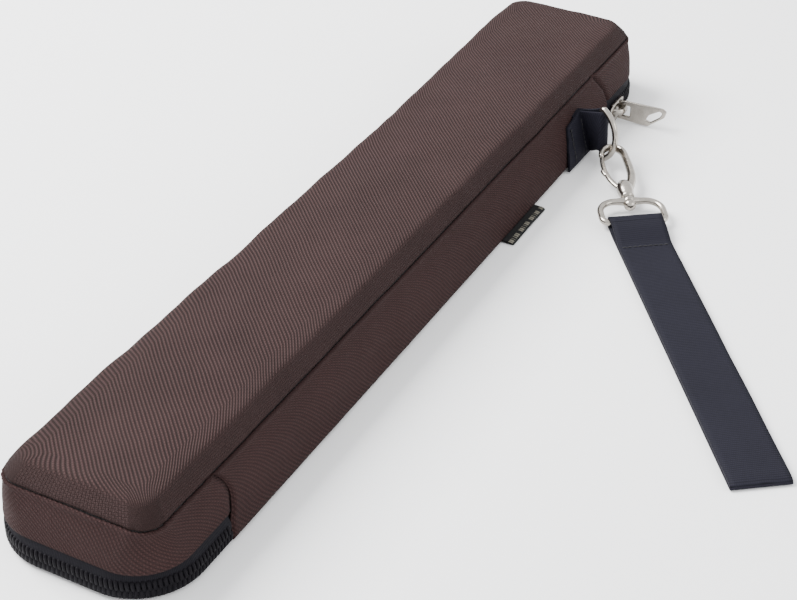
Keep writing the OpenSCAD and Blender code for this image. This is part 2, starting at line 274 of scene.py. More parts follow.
def moved(part, matrix):
    verts, faces = part
    verts = np.asarray(verts, float)
    m = np.array(matrix)
    return verts @ m[:3, :3].T + m[:3, 3], faces


def smooth_path(points, count, closed=False):
    """Catmull-Rom curve through points."""
    points = [np.asarray(p, float) for p in points]
    n = len(points)
    spans = n if closed else n - 1
    out = []
    for k in range(count if closed else count + 1):
        t = k * spans / count
        i = min(int(t), spans - 1)
        f = t - i
        get = (lambda j: points[j % n]) if closed else (lambda j: points[max(0, min(n - 1, j))])
        a, b, c, d = get(i - 1), get(i), get(i + 1), get(i + 2)
        out.append(0.5 * (
            2 * b + (c - a) * f
            + (2 * a - 5 * b + 4 * c - d) * f * f + (3 * b - a - 3 * c + d) * f ** 3
        ))
    return np.array(out)


# ---------------------------------------------------------------- material helpers
def new_material(name):
    mat = bpy.data.materials.new(name)
    mat.use_nodes = True
    tree = mat.node_tree
    return mat, tree.nodes, tree.links, tree.nodes["Principled BSDF"]


class Sums:
    """Short ways to write the arithmetic of a procedural texture."""

    def __init__(self, nodes, links):
        self.nodes, self.links = nodes, links

    def math(self, operation, *values):
        node = self.nodes.new("ShaderNodeMath")
        node.operation = operation
        for socket, value in zip(node.inputs, values):
            if isinstance(value, (int, float)):
                socket.default_value = value
            else:
                self.links.new(value, socket)
        return node.outputs[0]

    def noise(self, vector, scale, detail=2.0, roughness=0.5):
        node = self.nodes.new("ShaderNodeTexNoise")
        node.inputs["Scale"].default_value = scale
        node.inputs["Detail"].default_value = detail
        node.inputs["Roughness"].default_value = roughness
        self.links.new(vector, node.inputs["Vector"])
        return node.outputs["Fac"]

    def uv(self):
        node = self.nodes.new("ShaderNodeUVMap")
        node.uv_map = "weave"
        split = self.nodes.new("ShaderNodeSeparateXYZ")
        self.links.new(node.outputs["UV"], split.inputs[0])
        return node.outputs["UV"], split.outputs["X"], split.outputs["Y"]

    def place(self):
        return self.nodes.new("ShaderNodeTexCoord").outputs["Object"]

    def height(self, vector):
        split = self.nodes.new("ShaderNodeSeparateXYZ")
        self.links.new(vector, split.inputs[0])
        return split.outputs["Z"]

    def ramp(self, value, stops):
        node = self.nodes.new("ShaderNodeValToRGB")
        ends = node.color_ramp.elements
        ends[0].position, ends[0].color = stops[0][0], (*stops[0][1], 1)
        ends[1].position, ends[1].color = stops[-1][0], (*stops[-1][1], 1)
        for position, colour in stops[1:-1]:
            node.color_ramp.elements.new(position).color = (*colour, 1)
        self.links.new(value, node.inputs[0])
        return node.outputs[0]

    def bump(self, height, distance, strength=1.0, normal=None):
        node = self.nodes.new("ShaderNodeBump")
        node.inputs["Strength"].default_value = strength
        node.inputs["Distance"].default_value = distance
        self.links.new(height, node.inputs["Height"])
        if normal is not None:
            self.links.new(normal, node.inputs["Normal"])
        return node.outputs[0]


def woven(name, pitch, painted_groove_shade, light, depth, yarns=2, rib=0.0, rib_z=None, roughness=0.75, patch=0.12):
    """Basket weave: square cells in which the yarns run along and across by turns. pitch is a cell's side.

    rib is how strongly the cells join into diagonal ribs. Where rib_z is given, they and the
    contrast fade below it; the full contrast above it is painted highlight of the light on the up-facing top.
    """
    mat, nodes, links, shader = new_material(name)
    s = Sums(nodes, links)
    _, u, v = s.uv()
    place = s.place()
    wander = s.math("MULTIPLY", s.math("SUBTRACT", s.noise(place, 60, 1), 0.5), 0.5 * pitch)
    u = s.math("MULTIPLY", s.math("ADD", u, wander), math.pi / pitch)
    v = s.math("MULTIPLY", s.math("ADD", v, wander), math.pi / pitch)
    su, sv = s.math("SINE", u), s.math("SINE", v)
    cell = s.math("MULTIPLY", su, sv)
    pick = s.math("MULTIPLY_ADD", cell, 3.0, 0.5)
    pick = s.math("MINIMUM", s.math("MAXIMUM", pick, 0.0), 1.0)
    dome_u, dome_v = s.math("ABSOLUTE", su), s.math("ABSOLUTE", sv)
    yarn_u = s.math("ABSOLUTE", s.math("SINE", s.math("MULTIPLY", u, yarns)))
    yarn_v = s.math("ABSOLUTE", s.math("SINE", s.math("MULTIPLY", v, yarns)))
    along = s.math("MULTIPLY", s.math("POWER", dome_u, 0.6), s.math("MULTIPLY_ADD", yarn_v, 0.45, 0.55))
    across = s.math("MULTIPLY", s.math("POWER", dome_v, 0.6), s.math("MULTIPLY_ADD", yarn_u, 0.45, 0.55))
    along = s.math("MULTIPLY", along, pick)
    across = s.math("MULTIPLY", across, s.math("SUBTRACT", 0.55, s.math("MULTIPLY", pick, 0.55)))
    height = s.math("ADD", along, across)
    cloudy = s.math("MULTIPLY", s.math("SUBTRACT", s.noise(place, 35, 3, 0.6), 0.5), patch * 2)
    fleck = s.math("MULTIPLY", s.math("SUBTRACT", s.noise(place, 1400, 1), 0.5), 0.25)
    slant = s.math("MULTIPLY_ADD", s.math("COSINE", s.math("ADD", u, v)), -0.5, 0.5)
    strength = rib
    if rib_z is not None:
        high = s.height(place)
        fade = s.math("DIVIDE", s.math("SUBTRACT", high, rib_z * MM), 1.6 * MM)
        fade = s.math("MINIMUM", s.math("MAXIMUM", fade, 0.0), 1.0)
        strength = s.math("MULTIPLY", fade, rib)
    height = s.math("ADD", height, s.math("MULTIPLY", s.math("SUBTRACT", slant, height), strength))
    tone = height
    # Painted highlight: the weave's colour contrast is full above rib_z and cut to 0.4 of it below, as if the
    # lower bevel were in shade.
    if rib_z is not None:
        painted_sheen_contrast = s.math("MULTIPLY_ADD", fade, 0.6, 0.4)
        tone = s.math("ADD", s.math("MULTIPLY", s.math("SUBTRACT", height, 0.42), painted_sheen_contrast), 0.42)
    tone = s.math("ADD", s.math("ADD", tone, cloudy), fleck)
    # The ramp paints shade into the gaps between the yarns and highlight on the yarn crowns.
    links.new(s.ramp(tone, [(0.0, painted_groove_shade), (1.0, light)]), shader.inputs["Base Color"])
    shader.inputs["Roughness"].default_value = roughness
    shader.inputs["Specular IOR Level"].default_value = 0.08
    links.new(s.bump(height, depth * MM), shader.inputs["Normal"])
    return mat


def ribbed(name, rib, painted_groove_shade, light, depth, roughness=0.7, marks=None):
    """Plain webbing or tape: fine ribs across its width, each broken into small picks.

    marks is (from, to, colour) of a row of plain woven dashes, in millimetres across.
    """
    mat, nodes, links, shader = new_material(name)
    s = Sums(nodes, links)
    _, u, v = s.uv()
    place = s.place()
    v = s.math("ADD", v, s.math("MULTIPLY", s.math("SUBTRACT", s.noise(place, 90, 1), 0.5), rib))
    across = s.math("ABSOLUTE", s.math("SINE", s.math("MULTIPLY", v, math.pi / rib)))
    shift = s.math("MULTIPLY", s.math("FLOOR", s.math("DIVIDE", v, rib)), math.pi / 2)
    pick_phase = s.math("MULTIPLY", u, math.pi / (rib * 0.8))
    picks = s.math("ABSOLUTE", s.math("SINE", s.math("ADD", pick_phase, shift)))
    height = s.math("MULTIPLY", s.math("POWER", across, 0.7), s.math("MULTIPLY_ADD", picks, 0.4, 0.6))
    fleck = s.math("MULTIPLY", s.math("SUBTRACT", s.noise(place, 900, 2), 0.5), 0.3)
    cloudy = s.math("MULTIPLY", s.math("SUBTRACT", s.noise(place, 30, 2), 0.5), 0.3)
    tone = s.math("ADD", height, s.math("ADD", fleck, cloudy))
    # The ramp paints shade into the grooves between the ribs and highlight on the rib crowns.
    cloth = s.ramp(tone, [(0.0, painted_groove_shade), (1.0, light)])
    if marks:
        _, mark_u, mark_v = s.uv()
        quick_wave = s.math("SINE", s.math("MULTIPLY", mark_v, 3.9))
        slow_wave = s.math("SINE", s.math("MULTIPLY", mark_v, 1.1))
        wave = s.math("ADD", quick_wave, slow_wave)
        dash = s.math("MULTIPLY", s.math("GREATER_THAN", wave, 0.1), s.math("GREATER_THAN", mark_u, marks[0]))
        dash = s.math("MULTIPLY", dash, s.math("LESS_THAN", mark_u, marks[1]))
        mix = nodes.new("ShaderNodeMix")
        mix.data_type = "RGBA"
        mix.inputs[7].default_value = (*marks[2], 1)
        links.new(dash, mix.inputs[0])
        links.new(cloth, mix.inputs[6])
        cloth = mix.outputs[2]
    links.new(cloth, shader.inputs["Base Color"])
    shader.inputs["Roughness"].default_value = roughness
    shader.inputs["Specular IOR Level"].default_value = 0.08
    links.new(s.bump(height, depth * MM), shader.inputs["Normal"])
    return mat


def metal(name, colour, roughness, brush=0.15):
    """Plated metal with faint brushing, small dull patches and fine scratches."""
    mat, nodes, links, shader = new_material(name)
    s = Sums(nodes, links)
    place = s.place()
    patches = s.noise(place, 260, 3, 0.6)
    fine = s.noise(place, 2200, 2, 0.7)
    dull = tuple(c * 0.72 for c in colour)
    links.new(s.ramp(patches, [(0.25, dull), (0.6, colour)]), shader.inputs["Base Color"])
    shader.inputs["Metallic"].default_value = 1.0
    links.new(s.math("ADD", s.math("MULTIPLY", patches, 0.22), roughness - 0.08), shader.inputs["Roughness"])
    links.new(s.bump(s.math("MULTIPLY", fine, brush), 0.00003), shader.inputs["Normal"])
    return mat


def plastic(name, colour, roughness, grain=900, shine=0.3):
    """Moulded or foamed plastic with a fine grain."""
    mat, nodes, links, shader = new_material(name)
    s = Sums(nodes, links)
    place = s.place()
    fine = s.noise(place, grain, 3, 0.6)
    deep = tuple(c * 0.7 for c in colour)
    links.new(s.ramp(fine, [(0.3, deep), (0.7, colour)]), shader.inputs["Base Color"])
    shader.inputs["Roughness"].default_value = roughness
    shader.inputs["Specular IOR Level"].default_value = shine
    links.new(s.bump(fine, 0.0001), shader.inputs["Normal"])
    return mat


def thread(name, colour):
    """Twisted thread: slanting ply lines along each stitch."""
    mat, nodes, links, shader = new_material(name)
    s = Sums(nodes, links)
    place = s.place()
    split = nodes.new("ShaderNodeSeparateXYZ")
    links.new(place, split.inputs[0])
    lay = s.math(
        "ADD", s.math("MULTIPLY", split.outputs["X"], 9000), s.math("MULTIPLY", split.outputs["Y"], 9000)
    )
    twist = s.math("ABSOLUTE", s.math("SINE", lay))
    shaded = tuple(c * 0.5 for c in colour)
    links.new(s.ramp(twist, [(0.0, shaded), (1.0, colour)]), shader.inputs["Base Color"])
    shader.inputs["Roughness"].default_value = 0.6
    links.new(s.bump(twist, 0.0001), shader.inputs["Normal"])
    return mat


# ---------------------------------------------------------------- the case's shape
def box_mm(node):
    lo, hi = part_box(node)
    return lo / MM, hi / MM


_top_lo, _top_hi = box_mm("top_panel")
_coil_lo, _coil_hi = box_mm("lower_zip_coil")
SEAM_W, SEAM_L = _top_hi.x - _top_lo.x, _top_hi.y - _top_lo.y
SEAM_Z, CROWN_Z = _top_lo.z, _top_hi.z
FOOT_W, FOOT_L = -2 * _coil_lo.x + 0.4, _coil_hi.y - _coil_lo.y + 0.4
FOOT_Z = 3.0
FLARE = (FOOT_W - SEAM_W) / 2
SEAM_R, FOOT_R = 9.0, 28.0
PANEL_NEAR = box_mm("hinge_panel")[0].y
PANEL_FAR = box_mm("hinge_panel")[1].y
ZIP_Z = 5.0
ZIP_PITCH = 2.05
SLIDER_LO, SLIDER_HI = box_mm("slider_body")
ZIP_END = box_mm("zip_end_coil")[1].y


def outline(q, w, l, r):
    """Point and outward direction on a rounded rectangle.

    q counts sides and corners, 0 to 8, from the +X side.
    """
    seg, f = int(q) % 8, q - int(q)
    hx, hy = w / 2 - r, l / 2 - r
    if seg == 0:
        return w / 2, -hy + 2 * hy * f, 1, 0
    if seg == 2:
        return hx - 2 * hx * f, l / 2, 0, 1
    if seg == 4:
        return -w / 2, hy - 2 * hy * f, -1, 0
    if seg == 6:
        return -hx + 2 * hx * f, -l / 2, 0, -1
    turn = math.radians(45 * (seg - 1) + 90 * f)
    sx = 1 if seg in (1, 7) else -1
    sy = 1 if seg in (1, 3) else -1
    return sx * hx + r * math.cos(turn), sy * hy + r * math.sin(turn), math.cos(turn), math.sin(turn)


def wall_size(z):
    """Width, length and corner radius of the wall's outline at height z."""
    t = max(0.0, (z - FOOT_Z) / (SEAM_Z - FOOT_Z))
    return FOOT_W - 2 * FLARE * t, FOOT_L - 2 * FLARE * t, FOOT_R + (SEAM_R - FOOT_R) * t


def on_wall(q, z, out):
    """Point of the wall at q and height z, moved out by out."""
    x, y, nx, ny = outline(q, *wall_size(z))
    return x + nx * out, y + ny * out, z


def side_q(y, z):
    """q of the point at y on the +X side at height z."""
    _, l, r = wall_size(z)
    half = l / 2 - r
    return (y + half) / (2 * half)


WAIST_Y = [-230, -160, -105, -60, 60, 100, 140, 200, 230]
WAIST = [0.9, -0.3, 0.7, 1.0, 1.0, 0.5, -0.6, -1.4, -0.8]


def soften(x, y, z):
    """Slow unevenness of padded cloth, the same for every piece that passes through a place."""
    firm = min(1.0, max(0.0, (z - 9) / 12))
    p = Vector((x / 38, y / 60, z / 30))
    fine = Vector((x / 13, y / 15, z / 12))
    dx = 0.35 * noise.noise(p) + 0.22 * noise.noise(fine)
    dy = 0.4 * noise.noise(p + Vector((9.1, 3.3, 5.2)))
    dz = 0.45 * noise.noise(p + Vector((2.7, 8.8, 1.4))) + 0.25 * noise.noise(fine + Vector((4, 4, 4)))
    dx += float(np.interp(y, WAIST_Y, WAIST)) * max(0.0, min(1.0, -x / 30))
    return x + dx * firm, y + dy * firm, z + dz * firm


def softened(points):
    shape = points.shape
    return np.array([soften(*p) for p in points.reshape(-1, 3)]).reshape(shape)


def lengths_along(points):
    """Running length along the first axis of an array of points."""
    step = np.linalg.norm(np.diff(points, axis=0), axis=-1)
    return np.concatenate([np.zeros((1,) + step.shape[1:]), np.cumsum(step, axis=0)])


LONG, SHORT, CORNER = 150, 22, 14


def full_turn():
    """q values of a whole turn, starting in the middle of the near +X corner."""
    qs = []
    counts = [LONG, CORNER, SHORT, CORNER, LONG, CORNER, SHORT, CORNER]
    for seg in range(8):
        qs += [seg + i / counts[seg] for i in range(counts[seg])]
    half = CORNER // 2
    return qs[-half:] + qs[:-half]


def zip_run():
    """(segment, share) pairs from the hinge panel's far seam round both ends to its near seam."""
    run = [("far", i / 10) for i in range(10)]
    counts = {1: 16, 2: 12, 3: 16, 4: LONG, 5: 16, 6: 12, 7: 16}
    for seg, count in counts.items():
        run += [(seg, i / count) for i in range(count)]
    return run + [("near", i / 10) for i in range(11)]


def run_q(station, z, far, near):
    """q at height z of a station of zip_run()."""
    seg, f = station
    if seg == "far":
        q = side_q(far, z)
        return q + (1 - q) * f
    if seg == "near":
        return 8 + side_q(near, z) * f
    return seg + f


# ---------------------------------------------------------------- the lid's fabric
CROWN = [  # (share of the crown's height, inset from the seam's outline)
    (-0.12, 2.2), (-0.06, 1.3), (-0.01, 0.7), (0.05, 0.42), (0.12, 0.4), (0.22, 0.7), (0.36, 1.5),
    (0.52, 2.55), (0.68, 3.65), (0.81, 4.6), (0.895, 5.35), (0.94, 6.15), (0.965, 7.4), (0.98, 9.4),
    (0.99, 12.5),
]


def crown_point(q, share, inset):
    """Point of the crown; the edge of its flat top wanders a little along the case."""
    x0, y0, nx, ny = outline(q, SEAM_W, SEAM_L, SEAM_R)
    wave = noise.noise(Vector((x0 / 25, y0 / 33, 4.2))) + 0.5 * noise.noise(Vector((x0 / 9, y0 / 11, 7.7)))
    inset = inset + 0.9 * wave * min(1, inset / 5)
    r = max(SEAM_R - 0.3 * inset, 4)
    x, y, nx, ny = outline(q, SEAM_W - 2 * inset, SEAM_L - 2 * inset, r)
    gather = math.exp(-((share - 0.12) / 0.16) ** 2) * 0.22
    ripple = gather * (math.sin(1.9 * (x0 - y0)) + noise.noise(Vector((x0 / 2.1, y0 / 2.1, 1))))
    corner = 1 if int(q) % 2 else 0.35
    return x + nx * ripple * corner, y + ny * ripple * corner, SEAM_Z + share * (CROWN_Z - SEAM_Z)


def coons(ring, a, b):
    """Fills a ring of 2 * (a + b) points with an (a + 1) by (b + 1) grid."""
    n = len(ring)
    low = np.array([ring[i] for i in range(a + 1)])
    high = np.array([ring[a + b + a - i] for i in range(a + 1)])
    left = np.array([ring[(n - j) % n] for j in range(b + 1)])
    right = np.array([ring[a + j] for j in range(b + 1)])
    s = np.linspace(0, 1, a + 1)[:, None, None]
    t = np.linspace(0, 1, b + 1)[None, :, None]
    return (
        (1 - t) * low[:, None] + t * high[:, None] + (1 - s) * left[None] + s * right[None]
        - (1 - s) * (1 - t) * low[0] - s * (1 - t) * low[-1] - (1 - s) * t * high[0] - s * t * high[-1]
    )


def grid_quads(index, a, b):
    """Faces of a grid of a by b cells whose corners are numbered by index[i, j]."""
    return [
        (index[i, j], index[i + 1, j], index[i + 1, j + 1], index[i, j + 1])
        for i in range(a)
        for j in range(b)
    ]


def make_top_panel(material):
    qs = full_turn()
    rings = np.array([[crown_point(q, share, inset) for q in qs] for share, inset in CROWN])
    inner = rings[-1]
    out = inner - rings[-2]
    out[:, 2] = 0
    spread = lengths_along(rings[::-1])[::-1]
    seam_xy = np.array([outline(q, SEAM_W, SEAM_L, SEAM_R) for q in qs])
    uv = inner[None, :, :2] + seam_xy[None, :, 2:] * spread[:, :, None]
    a, b = LONG + CORNER, SHORT + CORNER
    cap = coons(inner, a, b)
    half_w, half_l = SEAM_W / 2 - CROWN[-1][1], SEAM_L / 2 - CROWN[-1][1]
    rise = (1 - (cap[..., 0] / half_w) ** 2).clip(0) * (1 - (cap[..., 1] / half_l) ** 8).clip(0)
    cap[..., 2] += 0.55 * rise
    n = len(qs)
    verts = list(rings.reshape(-1, 3))
    uvs = list(uv.reshape(-1, 2))
    faces = grid_faces(len(CROWN), n, 0, True)
    last = (len(CROWN) - 1) * n
    index = np.full((a + 1, b + 1), -1)
    for i in range(a + 1):
        index[i, 0], index[i, b] = last + i, last + a + b + a - i
    for j in range(b + 1):
        index[0, j], index[a, j] = last + (n - j) % n, last + a + j
    for i in range(1, a):
        for j in range(1, b):
            index[i, j] = len(verts)
            verts.append(cap[i, j])
            uvs.append(cap[i, j, :2])
    faces += grid_quads(index, a, b)
    obj = mesh_object("case_top_panel", softened(np.array(verts)), faces, uvs)
    thicken(obj, 0.9)
    finish_piece(obj, material, "shell", "outer_fabric", "top_panel")


GUSSET = [  # (height, how far out of the wall's line)
    (14.2, -1.5), (12.9, -1.35), (12.25, -0.75), (12.1, -0.05), (12.5, 0.45), (13.5, 0.6), (15.5, 0.6),
    (18, 0.75), (21, 0.85), (24, 0.75), (26.5, 0.55), (28.2, 0.4), (29.1, 0.5), (29.8, 0.75),
    (30.35, 0.8), (30.75, 0.5), (30.85, 0.0), (30.6, -0.7), (29.8, -1.4),
]
SEAM_CURL = 1.3


SEAM_HEIGHTS = [0, 6, 9.5, 12.4, 17.6, 21, 24.7, 27.5, 30.3, 31]
SEAM_BENDS = {  # how far each upright seam wanders along the case at those heights
    "near": [-2.4, -2.4, -1.6, 0.3, 1.9, 2.0, 1.0, -0.8, -3.2, -6.0],
    "far": [1.5, 1.5, 3.0, 3.4, 2.0, 0.2, -2.6, -4.8, -7.0, -7.6],
}


def seam_y(which, z):
    base = PANEL_NEAR if which == "near" else PANEL_FAR
    return base + float(np.interp(z, SEAM_HEIGHTS, SEAM_BENDS[which]))


def gathers(x, y, z):
    """Small puckers of the cloth along the top seam, strongest at the near corners."""
    near = math.exp(-((y + SEAM_L / 2) / 60) ** 2)
    close = math.exp(-((z - SEAM_Z + 0.5) / 0.9) ** 2)
    ripple = math.sin(3.1 * (x - y)) + noise.noise(Vector((x / 1.7, y / 1.7, 2)))
    return close * (0.05 + 0.16 * near) * ripple


def make_gusset(material):
    run = zip_run()
    rows = []
    for z, out in GUSSET:
        far, near = seam_y("far", z), seam_y("near", z)
        row = []
        for station in run:
            q = run_q(station, z, far, near)
            row.append(on_wall(q, z, out + gathers(*on_wall(q, z, 0))))
        rows.append(row)
    points = np.array(rows)
    along = lengths_along(points.transpose(1, 0, 2)).T
    end = np.minimum(along, along[:, -1:] - along)
    tuck = SEAM_CURL * np.exp(-(end / 0.9) ** 2)
    points[:, :, 0] -= tuck
    ref = along[8][None].repeat(len(GUSSET), 0)
    up = lengths_along(points)
    obj = grid_object("case_zip_gusset", softened(points), np.dstack([ref, up]))
    thicken(obj, 0.9)
    finish_piece(obj, material, "shell", "outer_fabric", "zip_gusset")


HINGE_WALL = [
    (1.0, -7.0), (0.75, -3.0), (0.55, -1.3), (0.95, -0.25), (1.9, 0.15), (3.2, 0.3), (5.5, 0.55),
    (9, 0.8), (12.4, 0.95), (15, 1.05), (18, 1.1), (21, 1.0), (24, 0.8), (26.5, 0.55), (28.2, 0.4),
    (29.1, 0.5), (29.8, 0.75), (30.35, 0.8), (30.75, 0.5), (30.85, 0.0), (30.6, -0.7), (29.8, -1.4),
]


def make_hinge_panel(material):
    edge = [0, 0.35, 0.7, 1.1, 1.6, 2.3, 3.2]
    length = PANEL_FAR - PANEL_NEAR
    between = [3.2 + (length - 6.4) * i / LONG for i in range(1, LONG)]
    places = edge + between + [length - e for e in edge[::-1]]
    rows = []
    for z, out in HINGE_WALL:
        near, far = seam_y("near", z), seam_y("far", z)
        row = []
        for p in places:
            y = near + (far - near) * p / length
            q = side_q(y, z)
            tuck = SEAM_CURL * math.exp(-(min(p, length - p) / 0.9) ** 2) if z > 1.2 else 0
            wave = 0.5 * noise.noise(Vector((y / 30, 3.1, 0))) if 1.2 < z < 16 else 0
            x, y, z = on_wall(q, z, out)
            row.append((x - tuck + wave, y, z))
        rows.append(row)
    points = np.array(rows)
    along = lengths_along(points.transpose(1, 0, 2)).T[8][None].repeat(len(HINGE_WALL), 0)
    obj = grid_object("case_hinge_panel", softened(points), np.dstack([along, lengths_along(points)]))
    thicken(obj, 0.5)
    finish_piece(obj, material, None, "outer_fabric", "hinge_panel")
    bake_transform(obj)


# ---------------------------------------------------------------- bands that follow the foot
def foot_band(name, profile, run_points, wrap=False):
    """A sheet along the foot's outline; profile holds (height, inset) and run_points the q values."""
    rows = []
    for z, inset in profile:
        row = []
        for q in run_points:
            x, y, nx, ny = outline(q, FOOT_W, FOOT_L, FOOT_R)
            row.append((x - nx * inset, y - ny * inset, z))
        rows.append(row)
    points = np.array(rows)
    along = lengths_along(points.transpose(1, 0, 2)).T[0][None].repeat(len(profile), 0)
    return grid_object(name, points, np.dstack([lengths_along(points), along]), wrap)


def zip_q():
    return [run_q(s, 0, seam_y("far", 0), seam_y("near", 0)) for s in zip_run()]


def split_run(y_split):
    """The zip's q values in two: the closed end's stretch on the +X side, and the rest."""
    q_split = side_q(y_split, 0)
    qs = zip_q()
    return [q for q in qs if q < q_split] + [q_split], [q_split] + [q for q in qs if q > q_split]


def make_zip_tapes(material):
    upper = foot_band(
        "zip_upper_tape",
        [(5.15, 1.2), (6.4, 0.95), (7.8, 0.95), (9.0, 1.1), (10.6, 1.8), (12.0, 2.4), (14.0, 3.4)],
        zip_q(),
    )
    thicken(upper, 0.6)
    finish_piece(upper, material, "shell", "zip_tape", "upper_zip_tape")
    end_q, rest_q = split_run(ZIP_END + 0.2)
    profile = [(4.85, 1.2), (3.6, 0.95), (2.2, 0.95), (1.3, 1.1), (0.95, 1.9), (0.9, 5.0), (0.95, 8.0)]
    lower = foot_band("zip_lower_tape", profile, rest_q)
    thicken(lower, 0.5)
    finish_piece(lower, material, "base", "zip_tape", "lower_zip_tape")
    end = foot_band("zip_tail_tape", [(4.85, 1.2), (3.6, 1.0), (2.2, 1.0), (1.1, 1.2), (0.5, 1.9)], end_q)
    thicken(end, 0.4)
    finish_piece(end, material, "shell", "zip_tape", "zip_end_tape")


COIL = [  # (distance from the zip's middle line, how far out of the foot's line, share of a pitch along)
    (3.75, -1.5, 0.0), (3.6, -0.9, 0.02), (2.9, -0.6, 0.06), (1.6, -0.5, 0.12), (0.45, -0.55, 0.17),
    (-0.25, -0.9, 0.2), (-0.3, -1.5, 0.22),
]


def zip_stations():
    """Evenly spaced places along the zip: point, outward direction, direction along."""
    q = np.array(zip_q())
    fine = np.linspace(q[0], q[-1], 6000)
    path = np.array([outline(v, FOOT_W, FOOT_L, FOOT_R) for v in fine])
    length = lengths_along(path[:, :2])
    places = np.arange(1.0, length[-1] - 1.0, ZIP_PITCH / 2)
    return [np.array([np.interp(p, length, path[:, k]) for k in range(4)]) for p in places]


def coil_turn(station, up):
    x, y, nx, ny = station
    n = math.hypot(nx, ny)
    nx, ny = nx / n, ny / n
    tx, ty = -ny, nx
    path = [
        (
            x + nx * out + tx * lean * ZIP_PITCH,
            y + ny * out + ty * lean * ZIP_PITCH,
            ZIP_Z + (d if up else -d),
        )
        for d, out, lean in COIL
    ]
    path, radii = round_ends(path, [(0.85, 0.5)] * len(path), 2)
    return tube(path, radii, 8)


def make_zip_coils(material):
    stations = zip_stations()
    upper = [coil_turn(s, True) for s in stations[0::2]]
    lower = [(s, coil_turn(s, False)) for s in stations[1::2]]
    at_end = [t for s, t in lower if s[0] > 0 and PANEL_FAR - 5 < s[1] < ZIP_END]
    rest = [t for s, t in lower if not (s[0] > 0 and PANEL_FAR - 5 < s[1] < ZIP_END)]
    for name, turns, body, node in (
        ("zip_upper_coil", upper, "shell", "upper_zip_coil"),
        ("zip_lower_coil", rest, "base", "lower_zip_coil"),
        ("zip_tail_coil", at_end, "shell", "zip_end_coil"),
    ):
        finish_piece(mesh_object(name, *joined(turns)), material, body, "zip_coil", node)


# ---------------------------------------------------------------- base and linings
def padded_plate(name, profile, size, radius, cut=None):
    """A closed plate of cloth: profile holds (height, inset) from its underside round the edge to its top."""
    qs = full_turn()
    w, l = size
    rings = []
    for z, inset in profile:
        ring = []
        for q in qs:
            x, y, _, _ = outline(q, w - 2 * inset, l - 2 * inset, max(radius - inset, 3))
            ring.append((x, y, z))
        rings.append(ring)
    rings = np.array(rings)
    if cut:
        x_cut, y_lo, y_hi = cut
        inside = (rings[..., 0] > x_cut) & (rings[..., 1] > y_lo) & (rings[..., 1] < y_hi)
        rings[..., 0] = np.where(inside, x_cut, rings[..., 0])
    a, b = LONG + CORNER, SHORT + CORNER
    n = len(qs)
    verts = list(rings.reshape(-1, 3))
    faces = grid_faces(len(profile), n, 0, True)
    for level, flip in ((0, True), (len(profile) - 1, False)):
        cap = coons(rings[level], a, b)
        start = level * n
        index = np.full((a + 1, b + 1), -1)
        for i in range(a + 1):
            index[i, 0], index[i, b] = start + i, start + a + b + a - i
        for j in range(b + 1):
            index[0, j], index[a, j] = start + (n - j) % n, start + a + j
        for i in range(1, a):
            for j in range(1, b):
                index[i, j] = len(verts)
                verts.append(cap[i, j])
        quads = grid_quads(index, a, b)
        faces += [q[::-1] for q in quads] if flip else quads
    verts = np.array(verts)
    return mesh_object(name, verts, faces, verts[:, :2])


def slider_cut():
    return (SLIDER_LO.x - 0.6, PANEL_FAR - 0.5, ZIP_END + 0.6)


def make_base(outer, lining, binding):
    cover = padded_plate(
        "case_base_cover", [(0.0, 3.4), (0.12, 2.0), (0.5, 1.25), (0.9, 1.3), (1.0, 2.0)],
        (FOOT_W, FOOT_L), FOOT_R, slider_cut(),
    )
    finish_piece(cover, outer, "base", "outer_fabric", "base_cover")
    inner = padded_plate(
        "base_lining_panel",
        [(4.2, 4.6), (4.55, 4.4), (4.75, 5.2), (4.85, 9.0)], (FOOT_W, FOOT_L), FOOT_R, slider_cut()
    )
    finish_piece(inner, lining, "base", "lining_fabric", "base_lining")
    edge = foot_band(
        "base_edge_binding",
        [(1.5, 2.9), (3.0, 2.75), (4.3, 2.85), (4.95, 3.4), (5.0, 4.6), (4.7, 5.4)], full_turn(), True
    )
    x_cut, y_lo, y_hi = slider_cut()
    for v in edge.data.vertices:
        if v.co.x > x_cut * MM and y_lo * MM < v.co.y < y_hi * MM:
            v.co.x = x_cut * MM
    thicken(edge, 0.35)
    finish_piece(edge, binding, "base", "binding_tape", "base_binding")


def wall_band(name, profile, thickness):
    """A closed band inside the lid; profile holds (height, inset from the wall's line)."""
    qs = full_turn()
    points = np.array([[on_wall(q, z, -inset) for q in qs] for z, inset in profile])
    around = lengths_along(points.transpose(1, 0, 2)).T[0][None].repeat(len(profile), 0)
    obj = grid_object(name, points, np.dstack([around, lengths_along(points)]), True)
    return thicken(obj, thickness)


def make_lid_inside(lining, binding):
    walls = wall_band("lid_wall_lining", [(30.2, 4.9), (26, 4.6), (20, 4.45), (14, 4.5), (11.4, 4.7)], 0.3)
    finish_piece(walls, lining, "shell", "lining_fabric", "wall_lining")
    roof = padded_plate(
        "lid_roof_lining", [(30.1, 6.0), (30.15, 5.0), (30.5, 4.6), (30.8, 4.8)], (SEAM_W, SEAM_L), SEAM_R
    )
    finish_piece(roof, lining, "shell", "lining_fabric", "top_lining")
    tape = wall_band("lid_seam_tape", [(30.0, 6.4), (29.75, 5.2), (29.2, 4.85), (28.2, 4.8)], 0.3)
    finish_piece(tape, binding, "shell", "binding_tape", "lining_seam_tape")
    mouth = wall_band(
        "lid_mouth_binding",
        [(13.0, 5.0), (11.0, 5.05), (10.2, 4.5), (9.9, 3.6), (9.9, 2.6), (10.3, 1.9), (11.4, 1.8)], 0.3,
    )
    finish_piece(mouth, binding, "shell", "binding_tape", "mouth_binding")


# ---------------------------------------------------------------- frames of the moving hardware
def turn_matrix(x, y, z):
    """Rotations about X, then Y, then Z, in degrees."""
    return (
        Matrix.Rotation(math.radians(z), 4, "Z")
        @ Matrix.Rotation(math.radians(y), 4, "Y")
        @ Matrix.Rotation(math.radians(x), 4, "X")
    )


def joint_named(name):
    return next(j for j in frame["joints"] if j["name"] == name)


